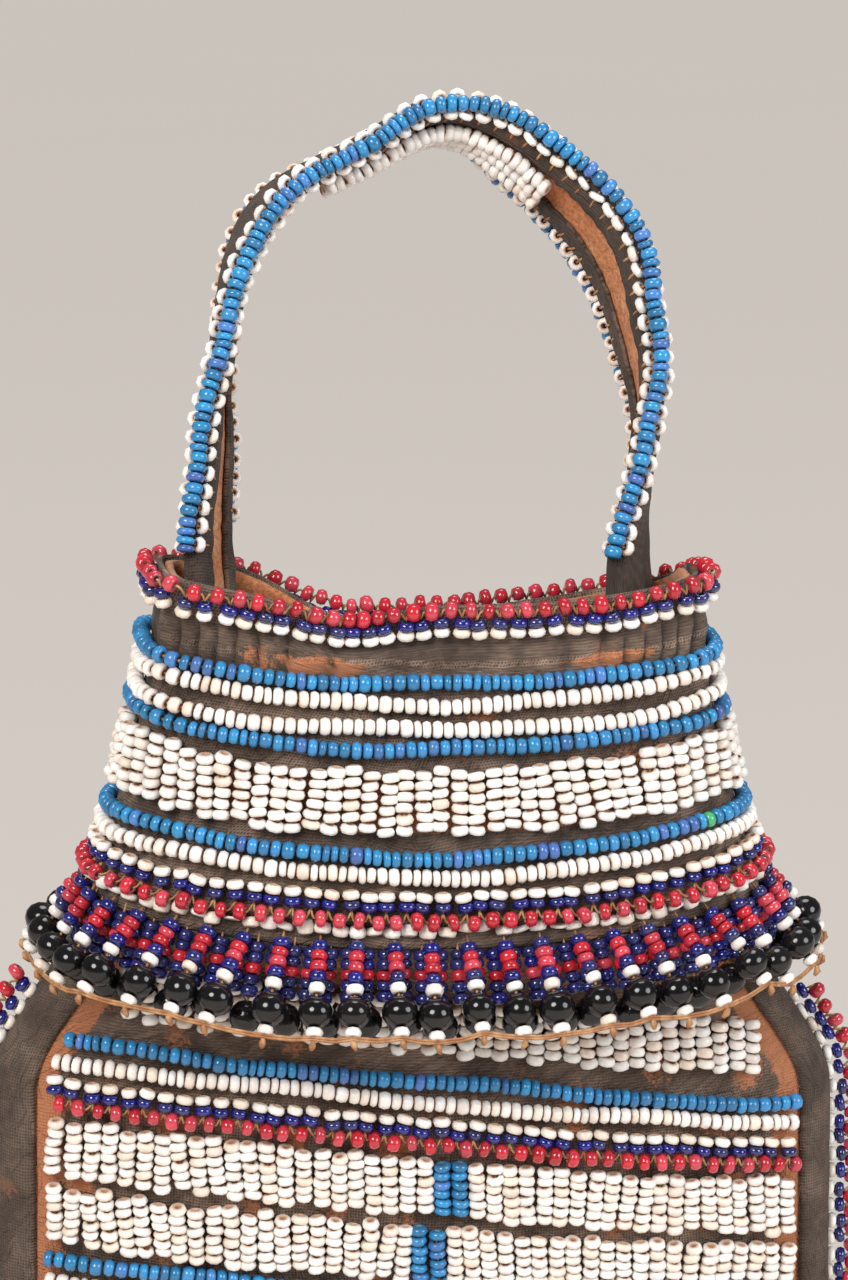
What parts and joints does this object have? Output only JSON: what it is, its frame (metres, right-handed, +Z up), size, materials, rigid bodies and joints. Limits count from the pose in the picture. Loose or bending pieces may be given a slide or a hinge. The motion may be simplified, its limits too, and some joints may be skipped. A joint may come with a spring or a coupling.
{
  "type": "beaded tobacco bag",
  "caption": "Flat hanging bag of leather covered in dark cloth, with bead bands, a stiff strap handle, a flared neck and a fringe of black beads.",
  "frame": {"origin": "the hanging point: the middle of the strap handle's inner face at its crown", "axes": "+Z up, the front of the bag faces -Y, +X to the bag's left-hand side as seen from behind (the viewer's right)"},
  "size_m": [0.1541, 0.0729, 0.2424],
  "materials": {
    "leather": "suede side out, dry, worn",
    "cloth": "woven cotton, faded brown black, torn in places",
    "white_beads": "opaque off-white glass, satin",
    "light_blue_beads": "opaque sky blue glass, glossy",
    "dark_blue_beads": "deep cobalt glass, glossy",
    "red_beads": "red glass over a pale core, glossy",
    "black_beads": "black glass, glossy"
  },
  "bodies": {
    "root": {"bottom_binding": "cloth", "fringe": "black_beads", "fringe_inner": "black_beads", "handle_blue_back": "light_blue_beads", "handle_blue_front": "light_blue_beads", "handle_cloth": "cloth", "handle_leather": "leather", "handle_white_back_inside": "white_beads", "handle_white_back_outside": "white_beads", "handle_white_front_inside": "white_beads", "handle_white_front_outside": "white_beads", "handle_white_patch": "white_beads", "neck_blue_row_1": "light_blue_beads", "neck_blue_row_2": "light_blue_beads", "neck_blue_row_3": "light_blue_beads", "neck_cloth": "cloth", "neck_edging_blue": "dark_blue_beads", "neck_edging_red": "red_beads", "neck_edging_white": "white_beads", "neck_leather": "leather", "neck_white_band": "white_beads", "neck_white_row_1": "white_beads", "neck_white_row_2": "white_beads", "neck_white_row_3": "white_beads", "neck_white_row_4": "white_beads", "pouch_band_1": "white_beads", "pouch_band_2_check": "light_blue_beads", "pouch_band_2_left": "white_beads", "pouch_band_2_right": "white_beads", "pouch_band_3_check": "light_blue_beads", "pouch_band_3_left": "white_beads", "pouch_band_3_right": "white_beads", "pouch_band_4_check": "light_blue_beads", "pouch_band_4_left": "white_beads", "pouch_band_4_right": "white_beads", "pouch_band_5_check": "light_blue_beads", "pouch_band_5_left": "white_beads", "pouch_band_5_right": "white_beads", "pouch_blue_row_1": "light_blue_beads", "pouch_blue_row_2": "light_blue_beads", "pouch_cloth": "cloth", "pouch_edging_blue_1": "dark_blue_beads", "pouch_edging_blue_2": "dark_blue_beads", "pouch_edging_red_1": "red_beads", "pouch_edging_red_2": "red_beads", "pouch_edging_white_1": "white_beads", "pouch_edging_white_2": "white_beads", "pouch_leather": "leather", "pouch_white_row_1": "white_beads", "pouch_white_row_2": "white_beads", "rim_blue_beads": "dark_blue_beads", "rim_red_beads": "red_beads", "rim_white_beads": "white_beads", "side_binding_left": "cloth", "side_binding_right": "cloth", "side_edging_left": "white_beads", "side_edging_right": "white_beads"}
  },
  "joints": []
}
